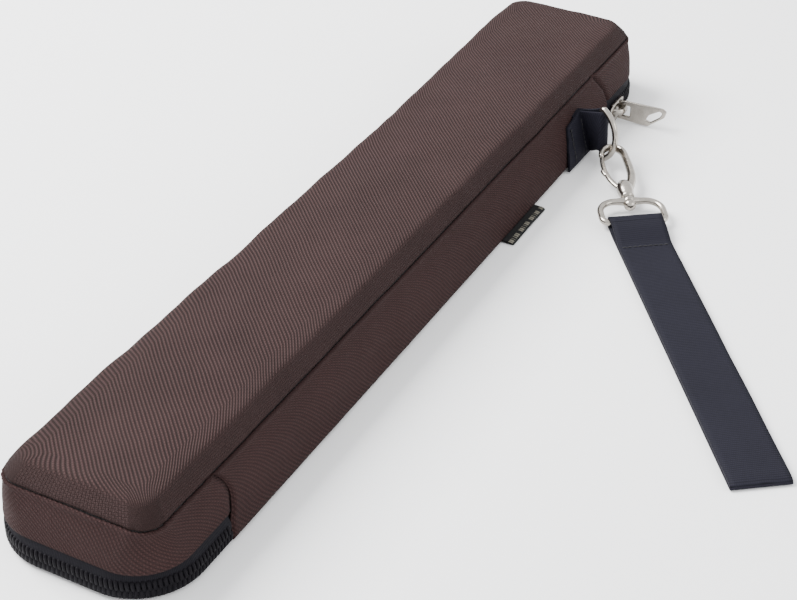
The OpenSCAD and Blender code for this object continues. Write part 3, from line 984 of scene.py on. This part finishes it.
RING_AT = Vector(joint_named("ring_swing")["pos_m"]) / MM
RING = Matrix.Translation(RING_AT) @ turn_matrix(-4, -9.5, -25)
RING_AXIS = RING.to_3x3() @ Vector((0, 0, 1))
HOOK_TURN = turn_matrix(0, 5, -56.4)
SWIVEL_X = 39.6
SWIVEL_AT = Vector(joint_named("hook_swivel")["pos_m"]) / MM
HOOK = Matrix.Translation(SWIVEL_AT - HOOK_TURN.to_3x3() @ Vector((SWIVEL_X, 0, 0))) @ HOOK_TURN
BAR_AT = Vector(joint_named("strap_swing")["pos_m"]) / MM
STRAP_HEADING = -53
STRAP = Matrix.Translation((BAR_AT.x, BAR_AT.y, 0)) @ turn_matrix(0, 0, STRAP_HEADING)


def arc(centre, radius, start, end, count):
    """Points of an arc in the XY plane, angles in degrees."""
    return [
        (centre[0] + radius * math.cos(math.radians(a)), centre[1] + radius * math.sin(math.radians(a)), 0)
        for a in np.linspace(start, end, count)
    ]


# ---------------------------------------------------------------- metal
def make_d_ring(material):
    half, bulge, wire = 13.3, 9.6, 1.55
    r = (half * half + bulge * bulge) / (2 * bulge)
    open_angle = math.degrees(math.acos((r - bulge) / r))
    bow = [(x, 0, y) for x, y, _ in arc((bulge - r, 0), r, -open_angle + 6, open_angle - 6, 40)]
    bar = [(0, 0, z) for z in np.linspace(half - 1.2, -half + 1.2, 14)]
    path = smooth_path(bow + bar, 130, True)
    part = moved(tube(path, wire, 20, True), RING)
    finish_piece(mesh_object("ring", *part), material, "ring", "nickel", "d_ring")


def lathe(profile, sides=28):
    """Turned part about the X axis; profile holds (x, radius)."""
    verts = [
        (x, r * math.cos(a), r * math.sin(a))
        for x, r in profile
        for a in np.linspace(0, 2 * math.pi, sides, endpoint=False)
    ]
    faces = grid_faces(len(profile), sides, 0, True)
    faces += [tuple(range(sides - 1, -1, -1)), tuple(range(len(verts) - sides, len(verts)))]
    return verts, faces


def make_hook(material, steel):
    path = smooth_path([
        (4.4, -6.4, 0), (2.0, -5.9, 0), (-0.6, -4.3, 0), (-2.3, -1.7, 0), (-2.2, 1.3, 0),
        (-0.2, 3.8, 0), (3.3, 5.1, 0), (9, 5.5, 0), (15, 5.7, 0), (21, 5.5, 0), (26, 4.5, 0),
        (30, 3.0, 0), (33, 1.6, 0),
    ], 64)
    share = np.linspace(0, 1, len(path))
    width = np.interp(share, [0, 0.3, 0.6, 0.8, 1], [1.3, 1.45, 1.75, 2.2, 2.4])
    height = np.interp(share, [0, 0.15, 0.4, 1], [1.4, 1.9, 2.3, 2.6])
    path, radii = round_ends(path, list(np.stack([width, height], 1)))
    loop = tube(path, radii, 20)
    block = lathe([
        (27.4, 0.4), (27.7, 1.8), (28.6, 2.9), (30.4, 3.7), (32.6, 4.05), (35, 3.85), (37.4, 3.45),
        (39, 3.3), (39.8, 3.35), (40.2, 3.1), (40.3, 1.9), (44.4, 1.9),
    ])
    head = lathe([
        (44.15, 1.2), (44.2, 2.1), (44.5, 2.65), (45.2, 2.95), (46.1, 2.9), (47.1, 2.35), (47.8, 1.5),
        (48.15, 0.5), (48.2, 0.05),
    ])
    obj = mesh_object("hook", *moved(joined([loop, block, head]), HOOK))
    finish_piece(obj, material, "hook", "nickel", "hook_body")
    pin = lathe([(-3.35, 0.2), (-3.3, 0.75), (-3.05, 0.85), (3.05, 0.85), (3.3, 0.75), (3.35, 0.2)], 16)
    upright = Matrix.Translation((30.6, -2.1, 0)) @ turn_matrix(0, -90, 0)
    obj = mesh_object("hook_pin", *moved(pin, HOOK @ upright))
    finish_piece(obj, steel, "hook", "spring_steel", "gate_pin")
    turns = 4.0
    helix = [
        (33.9 + 0.9 * math.cos(a), -1.3 + 0.9 * math.sin(a), -0.9 + 1.8 * a / (2 * math.pi * turns))
        for a in np.linspace(0, 2 * math.pi * turns, 72)
    ]
    spring = tube(*round_ends(helix, [(0.22, 0.22)] * len(helix), 2), 8)
    obj = mesh_object("hook_spring", *moved(spring, HOOK))
    finish_piece(obj, steel, "hook", "spring_steel", "gate_spring")


def make_gate(material):
    path = smooth_path(
        [(31.4, -2.4, 0), (28.5, -4.2, 0), (24, -5.9, 0), (18, -6.9, 0),
        (13, -7.1, 0), (9.8, -6.9, 0), (7.2, -6.6, 0)], 30
    )
    share = np.linspace(0, 1, len(path))
    width = 1.45 - 0.35 * share
    height = np.full(len(path), 1.15)
    path, radii = round_ends(path, list(np.stack([width, height], 1)))
    bar = tube(path, radii, 16)
    lever = tube(*round_ends(smooth_path([(20.5, -6.6, 0), (19.2, -7.6, 0), (17.4, -8.2, 0)], 8),
                             list(np.stack([np.linspace(1.5, 0.9, 9), np.full(9, 1.1)], 1))), 14)
    obj = mesh_object("hook_gate_bar", *moved(joined([bar, lever]), HOOK))
    finish_piece(obj, material, "gate", "nickel", "hook_gate")


def make_strap_loop(material):
    top, bottom, half, r_top, r_bottom, wire = 42.5, 58.5, 15.2, 8, 3.2, 1.6
    corners = (
        arc((top + r_top, half - r_top), r_top, 180, 90, 14)
        + arc((bottom - r_bottom, half - r_bottom), r_bottom, 90, 0, 8)
        + arc((bottom - r_bottom, -half + r_bottom), r_bottom, 0, -90, 8)
        + arc((top + r_top, -half + r_top), r_top, -90, -180, 14)
    )
    path = []
    for a, b in zip(corners, corners[1:] + corners[:1]):
        gap = math.dist(a, b)
        steps = max(1, int(gap / 1.6))
        path += [tuple(np.array(a) + (np.array(b) - np.array(a)) * k / steps) for k in range(steps)]
    path = np.array(path)
    swell = np.exp(-((path[:, 1] / 4.2) ** 2)) * (path[:, 0] < top + 2)
    radii = np.stack([wire + 0.5 * swell, wire + 0.7 * swell], 1)
    wire_part = tube(path, radii, 18, True)
    collar = lathe([
        (40.7, 2.1), (40.8, 2.5), (41.2, 2.8), (42.5, 2.9), (43.7, 2.75), (44.0, 2.45), (44.1, 2.1)
    ])
    obj = mesh_object("strap_d_loop", *moved(joined([wire_part, collar]), HOOK))
    finish_piece(obj, material, "loop", "nickel", "strap_loop")


def flat_piece(name, outlines, thickness, bevel, matrix):
    """A plate cut to outlines, the first outside and the others holes, with rounded edges."""
    data = bpy.data.curves.new(name, "CURVE")
    data.dimensions = "2D"
    data.fill_mode = "BOTH"
    data.extrude = (thickness / 2 - bevel) * MM
    data.bevel_depth = bevel * MM
    data.bevel_resolution = 2
    data.offset = -bevel * MM
    for points in outlines:
        spline = data.splines.new("POLY")
        spline.points.add(len(points) - 1)
        for point, (x, y) in zip(spline.points, points):
            point.co = (x * MM, y * MM, 0, 1)
        spline.use_cyclic_u = True
    curve = bpy.data.objects.new(name, data)
    bpy.context.scene.collection.objects.link(curve)
    bpy.context.view_layer.update()
    mesh = bpy.data.meshes.new_from_object(curve.evaluated_get(bpy.context.evaluated_depsgraph_get()))
    bpy.data.objects.remove(curve)
    place = matrix.copy()
    place.translation = place.translation * MM
    mesh.transform(place)
    obj = bpy.data.objects.new(name, mesh)
    bpy.context.scene.collection.objects.link(obj)
    return obj


def rounded(points, r=0.7, steps=4):
    """A closed outline with its corners rounded."""
    out = []
    n = len(points)
    for i in range(n):
        p, a, b = (np.array(points[k % n], float) for k in (i, i - 1, i + 1))
        va, vb = a - p, b - p
        cut = min(r, 0.45 * np.linalg.norm(va), 0.45 * np.linalg.norm(vb))
        start, end = p + va / np.linalg.norm(va) * cut, p + vb / np.linalg.norm(vb) * cut
        for t in np.linspace(0, 1, steps + 1):
            out.append(tuple((1 - t) ** 2 * start + 2 * t * (1 - t) * p + t * t * end))
    return out


def make_slider(material):
    centre_y = (SLIDER_LO.y + SLIDER_HI.y) / 2
    half_l = (SLIDER_HI.y - SLIDER_LO.y) / 2
    outer_x, inner_x = SLIDER_HI.x, SLIDER_LO.x
    shape = rounded([
        (-half_l, -3.3), (-half_l + 3.5, -4.7), (half_l - 1, -4.7), (half_l, -3.6),
        (half_l, 3.6), (half_l - 1, 4.7),
        (-half_l + 3.5, 4.7), (-half_l, 3.3),
    ], 1.2)
    # the plates' own x runs along the zip, y up, and z out of the case
    face = Matrix(((0, 0, 1, 0), (1, 0, 0, 0), (0, 1, 0, 0), (0, 0, 0, 1)))
    parts = []
    for x, t in ((outer_x - 0.7, 1.4), (inner_x + 0.6, 1.2)):
        parts.append(flat_piece("plate", [shape], t, 0.35, Matrix.Translation((x, centre_y, ZIP_Z)) @ face))
    for z in (ZIP_Z - 4.5, ZIP_Z + 4.5):
        rail_ys = np.linspace(centre_y - half_l + 3.2, centre_y + half_l - 0.8, 8)
        rail = [(outer_x - 0.9, y, z) for y in rail_ys]
        path, radii = round_ends(rail, [(1.15, 0.4)] * len(rail), 2)
        parts.append(mesh_object("rail", *tube(path, radii, 10)))
    post_y = centre_y - half_l + 1.6
    post = smooth_path([(inner_x + 0.5, post_y, ZIP_Z), (outer_x - 0.5, post_y, ZIP_Z)], 4)
    parts.append(mesh_object("post", *tube(post, [(0.9, 0.4)] * len(post), 10)))
    obj = join_objects(parts, "zip_slider")
    finish_piece(obj, material, "slider", "nickel", "slider_body")
    crown = [(outer_x + h, centre_y + a, 6.4) for a, h in [
        (-4.9, -0.5), (-4.6, 1.2), (-3.6, 2.9), (-1.9, 3.9), (0, 4.2),
        (1.9, 3.9), (3.6, 2.9), (4.6, 1.2), (4.9, -0.5)]]
    path = smooth_path(crown, 30)
    bridge = mesh_object("slider_bridge", *tube(path, [(0.95, 1.7)] * len(path), 14))
    finish_piece(bridge, material, "slider", "nickel", "slider_crown")


def join_objects(objects, name):
    """Several objects as one mesh object."""
    verts, faces = [], []
    for obj in objects:
        start = len(verts)
        verts += [tuple(obj.matrix_world @ v.co / MM) for v in obj.data.vertices]
        faces += [tuple(start + i for i in p.vertices) for p in obj.data.polygons]
        bpy.data.objects.remove(obj)
    return mesh_object(name, verts, faces)


def make_pull(material):
    pivot = Vector(joint_named("pull_swing")["pos_m"]) / MM
    tip = box_mm("pull_tab")[1].x - pivot.x
    outer = rounded([
        (-1.3, -5.2), (tip - 14, -5.9), (tip - 9.6, -5.9), (tip - 0.9, 1.2),
        (tip, 4.6), (tip - 2.2, 5.9), (-1.3, 5.3)
    ], 0.7)
    eye = rounded([(0.9, -3.1), (5.3, -3.1), (5.3, 3.1), (0.9, 3.1)], 0.8)
    hole = [
        (tip - 11, -2.6), (tip - 8.4, -3.3), (tip - 3.7, 0.5),
        (tip - 2.1, 3.4), (tip - 3.6, 4.4), (tip - 9.4, 0.7)
    ]
    # the tab's own x runs out of the case and y up
    face = Matrix(((1, 0, 0, 0), (0, 0, -1, 0), (0, 1, 0, 0), (0, 0, 0, 1)))
    obj = flat_piece(
        "zip_pull", [outer, eye, rounded(hole, 0.7)], 1.5, 0.35, Matrix.Translation(pivot) @ face
    )
    finish_piece(obj, material, "pull", "nickel", "pull_tab")


# ---------------------------------------------------------------- webbing, label and stitches
def ribbon(name, path_of, widths, thickness):
    """A strip of webbing: path_of(share across) gives its run, widths the shares across."""
    rows = [path_of(w) for w in widths]
    points = np.array(rows).transpose(1, 0, 2)
    across = lengths_along(points.transpose(1, 0, 2)).T[0][None].repeat(len(points), 0)
    along = lengths_along(points)
    obj = grid_object(name, points, np.dstack([across, along]))
    solid = obj.modifiers.new("thickness", "SOLIDIFY")
    solid.thickness = thickness * MM
    solid.offset = 0
    keep_modifiers(obj)
    bevel = obj.modifiers.new("soft edges", "BEVEL")
    bevel.width = 0.25 * MM
    bevel.segments = 2
    bevel.limit_method = "ANGLE"
    bevel.angle_limit = math.radians(50)
    return keep_modifiers(obj)


def tab_run(w):
    """Run of the ring's webbing at share w of its height.

    It goes along the wall, out to the ring's bar, round it and back.
    """
    bar = RING_AT + RING_AXIS * (20.4 * w - 8.2)
    bow = 0.3 * math.sin(math.pi * w)
    start, fold = 122.5 + 6 * w, 148 - 4.5 * w

    def on_side(y, out):
        z = 0.9 + w * (20.8 + 2.6 * max(0.0, min(1.0, (y - 128) / 14)))
        return on_wall(0.5, z, 1.0)[0] + out, y, z

    points = [on_side(start, 0.9), on_side(start + 3, 1.0)]
    points += [on_side(start + (fold - 1.5 - start) * t, 1.15 + bow) for t in (0.35, 0.6, 0.85)]
    points += [on_side(fold - 0.4, 1.5 + bow)]
    x, y, z = on_side(fold, 2.3)
    r = 2.15 + 0.3 * w
    side = math.atan2(bar.y - y, bar.x - x) - math.pi / 2
    near = (bar.x + r * math.cos(side), bar.y + r * math.sin(side))
    for t in (0.2, 0.6):
        points.append((
            x * (1 - t) + near[0] * t,
            (y - 0.4) * (1 - t) + near[1] * t - bow,
            z * (1 - t) + bar.z * t,
        ))
    points += [
        (bar.x + r * math.cos(side + a), bar.y + r * math.sin(side + a), bar.z)
        for a in np.linspace(0, math.pi, 9)
    ]
    far = (2 * bar.x - near[0], 2 * bar.y - near[1])
    for t in (0.3, 0.65):
        points.append((
            far[0] * (1 - t) + (x + 0.5) * t,
            far[1] * (1 - t) + (y + 1.3) * t,
            bar.z * (1 - t) + z * t,
        ))
    points += [on_side(fold + 1.7, 1.1), on_side(fold + 0.5, -0.1)]
    points += [on_side(fold - 6, -0.2)]
    return smooth_path(points, 96)


def make_ring_tab(material, stitch):
    obj = ribbon("ring_webbing", tab_run, np.linspace(0, 1, 13), 1.2)
    finish_piece(obj, material, "shell", "webbing", "ring_tab")
    stitches = []
    for y in (130.2, 142.5):
        for z in np.arange(2.6, 19.5, 2.3):
            x = on_wall(0.5, z, 1.0)[0] + 1.75
            path = [(x, y, z), (x + 0.18, y, z + 0.55), (x + 0.18, y, z + 1.1), (x, y, z + 1.65)]
            stitches.append(tube(*round_ends(path, [(0.28, 0.28)] * 4, 2), 7))
    obj = mesh_object("ring_webbing_stitches", *joined(stitches))
    finish_piece(obj, stitch, "shell", "thread", "ring_tab_stitching")


WEB_T = 1.25
STRAP_W = 25.4
STRAP_LAYER = 188.0


def strap_run(w):
    """Closed run of the strap at share w across it: over the bar, along the top layer, back underneath."""
    length = STRAP_LAYER
    y = (w - 0.5) * STRAP_W
    r = 1.6 + 0.35 + WEB_T / 2
    z_bar = BAR_AT.z
    low, high = WEB_T / 2 + 0.02, 1.5 * WEB_T + 0.12
    lift = 0.35 * noise.noise(Vector((w * 2, 0.3, 5)))
    top = [(3.5, z_bar + r - 0.35), (8, 5.2), (13, 3.6), (17, high + 0.35), (22, high), (40, high + 0.1)]
    top += [
        (x, high + 0.12 + 0.3 * noise.noise(Vector((x / 30, w, 2))) + lift * 0.3)
        for x in range(60, 181, 15)
    ]
    far = [(length - 1.5, high), (length - 0.1, (low + high) / 2), (length - 1.5, low)]
    under = [(x, low) for x in (170, 130, 90, 50, 25, 14, 8)] + [(4.5, low + 0.25)]
    turn = np.radians([-75, -110, -145, 180, 145, 110, 80])
    wrap = [(r * math.cos(a), z_bar + r * math.sin(a)) for a in turn]
    points = [(x, y, z) for x, z in top + far + under + wrap]
    path = smooth_path(points, 240, True)
    path[:, 2] = np.maximum(path[:, 2], low)
    return path


def make_strap(material, stitch):
    widths = np.linspace(0, 1, 11)
    rows = np.array([strap_run(w) for w in widths]).transpose(1, 0, 2)
    along = lengths_along(rows)
    across = np.broadcast_to((widths * STRAP_W)[None], along.shape)
    m = np.array(STRAP)
    points = rows @ m[:3, :3].T + m[:3, 3]
    rows_n, columns = points.shape[:2]
    faces = grid_faces(rows_n, columns)
    last = (rows_n - 1) * columns
    faces += [(last + i, last + i + 1, i + 1, i) for i in range(columns - 1)]
    obj = mesh_object("wrist_strap_webbing", points.reshape(-1, 3), faces, np.dstack([across, along]))
    solid = obj.modifiers.new("thickness", "SOLIDIFY")
    solid.thickness = WEB_T * MM
    solid.offset = 0
    keep_modifiers(obj)
    finish_piece(obj, material, "strap", "webbing", "wrist_strap")
    stitches = []
    for row in (19.6,):
        for y in np.arange(-11.2, 11.0, 2.5):
            z = 1.5 * WEB_T + 0.12 + WEB_T / 2 + 0.12
            path = [
                (row, y, z - 0.1), (row, y + 0.5, z + 0.12), (row, y + 1.2, z + 0.12), (row, y + 1.7, z - 0.1)
            ]
            stitches.append(moved(tube(*round_ends(path, [(0.26, 0.26)] * 4, 2), 7), STRAP))
    obj = mesh_object("wrist_strap_stitches", *joined(stitches))
    finish_piece(obj, stitch, "strap", "thread", "strap_stitching")


def make_label(material):
    lo, hi = box_mm("side_label")
    width = hi.x - lo.x
    columns = np.linspace(0, 1, 15)
    rows = []
    for y in np.linspace(lo.y, hi.y, 24):
        s = (y - lo.y) / (hi.y - lo.y)
        lift = 0.35 * math.sin(math.pi * s) ** 2
        row = []
        for c in columns:
            fold = abs(2 * c - 1)
            x = lo.x + width * (1 - fold)
            upper = c > 0.5
            z = 0.45 + (0.75 if upper else 0.0) * min(1, fold * 3 + 0.2) + lift * (1 - fold) ** 2
            row.append((x, y, z))
        rows.append(row)
    points = np.array(rows)
    along = lengths_along(points)
    across = lengths_along(points.transpose(1, 0, 2)).T
    obj = grid_object("side_tag", points, np.dstack([across, along]))
    solid = obj.modifiers.new("thickness", "SOLIDIFY")
    solid.thickness = 0.3 * MM
    solid.offset = 0
    keep_modifiers(obj)
    finish_piece(obj, material, "base", "label", "side_label")


# ---------------------------------------------------------------- everything
def dress_cad(node, material):
    """Gives a CAD node that stays its material."""
    obj = frame["nodes"][node]
    obj.data.materials.clear()
    obj.data.materials.append(material)


def main():
    make_camera()
    make_studio()
    cell = 1.03
    # Two copies of one weave: the top's higher-contrast copy is painted highlight of the light on the
    # up-facing yarns, and the flatter copy for the walls and underside is painted shade.
    brown_lit_top = woven(
        "brown_weave_lit_top_copy", cell, (0.0045, 0.0024, 0.0023), (0.056, 0.0315, 0.030), 0.6, rib=0.52, rib_z=38
    )
    brown_shaded_sides = woven(
        "brown_weave_shaded_side_copy", cell, (0.011, 0.0055, 0.0054), (0.043, 0.0215, 0.0205), 0.5, rib=0.3
    )
    lining = woven("lining_weave", 0.55, (0.004, 0.004, 0.0045), (0.022, 0.0205, 0.0225), 0.12, yarns=1)
    tape = ribbed("zip_tape_weave", 0.7, (0.002, 0.002, 0.003), (0.010, 0.009, 0.012), 0.1)
    binding = ribbed("binding_weave", 0.8, (0.003, 0.003, 0.0035), (0.014, 0.0135, 0.015), 0.1)
    webbing = ribbed("webbing_weave", 1.15, (0.003, 0.003, 0.005), (0.0135, 0.013, 0.020), 0.12)
    tag = ribbed(
        "tag_weave", 0.5, (0.004, 0.004, 0.0044), (0.02, 0.02, 0.0205), 0.08,
        marks=(7.3, 9.4, (0.16, 0.15, 0.12)),
    )
    stitch = thread("black_thread", (0.004, 0.004, 0.006))
    coil = plastic("coil_plastic", (0.005, 0.0042, 0.006), 0.55, 1600, 0.07)
    foam = plastic("closed_cell_foam", (0.06, 0.06, 0.062), 0.9, 500)
    board = plastic("board_plastic", (0.62, 0.6, 0.55), 0.5, 300)
    nickel = metal("nickel_plate", (0.40, 0.37, 0.33), 0.2)
    steel = metal("spring_wire", (0.34, 0.33, 0.31), 0.34)

    make_top_panel(brown_lit_top)
    make_gusset(brown_shaded_sides)
    make_hinge_panel(brown_shaded_sides)
    make_zip_tapes(tape)
    make_zip_coils(coil)
    make_base(brown_shaded_sides, lining, binding)
    make_lid_inside(lining, binding)
    make_d_ring(nickel)
    make_hook(nickel, steel)
    make_gate(nickel)
    make_strap_loop(nickel)
    make_slider(nickel)
    make_pull(nickel)
    make_ring_tab(webbing, stitch)
    make_strap(webbing, stitch)
    make_label(tag)
    for node in ("base_foam", "top_foam", "side_foam", "end_foam"):
        dress_cad(node, foam)
    for node in ("base_board", "top_board"):
        dress_cad(node, board)


main()
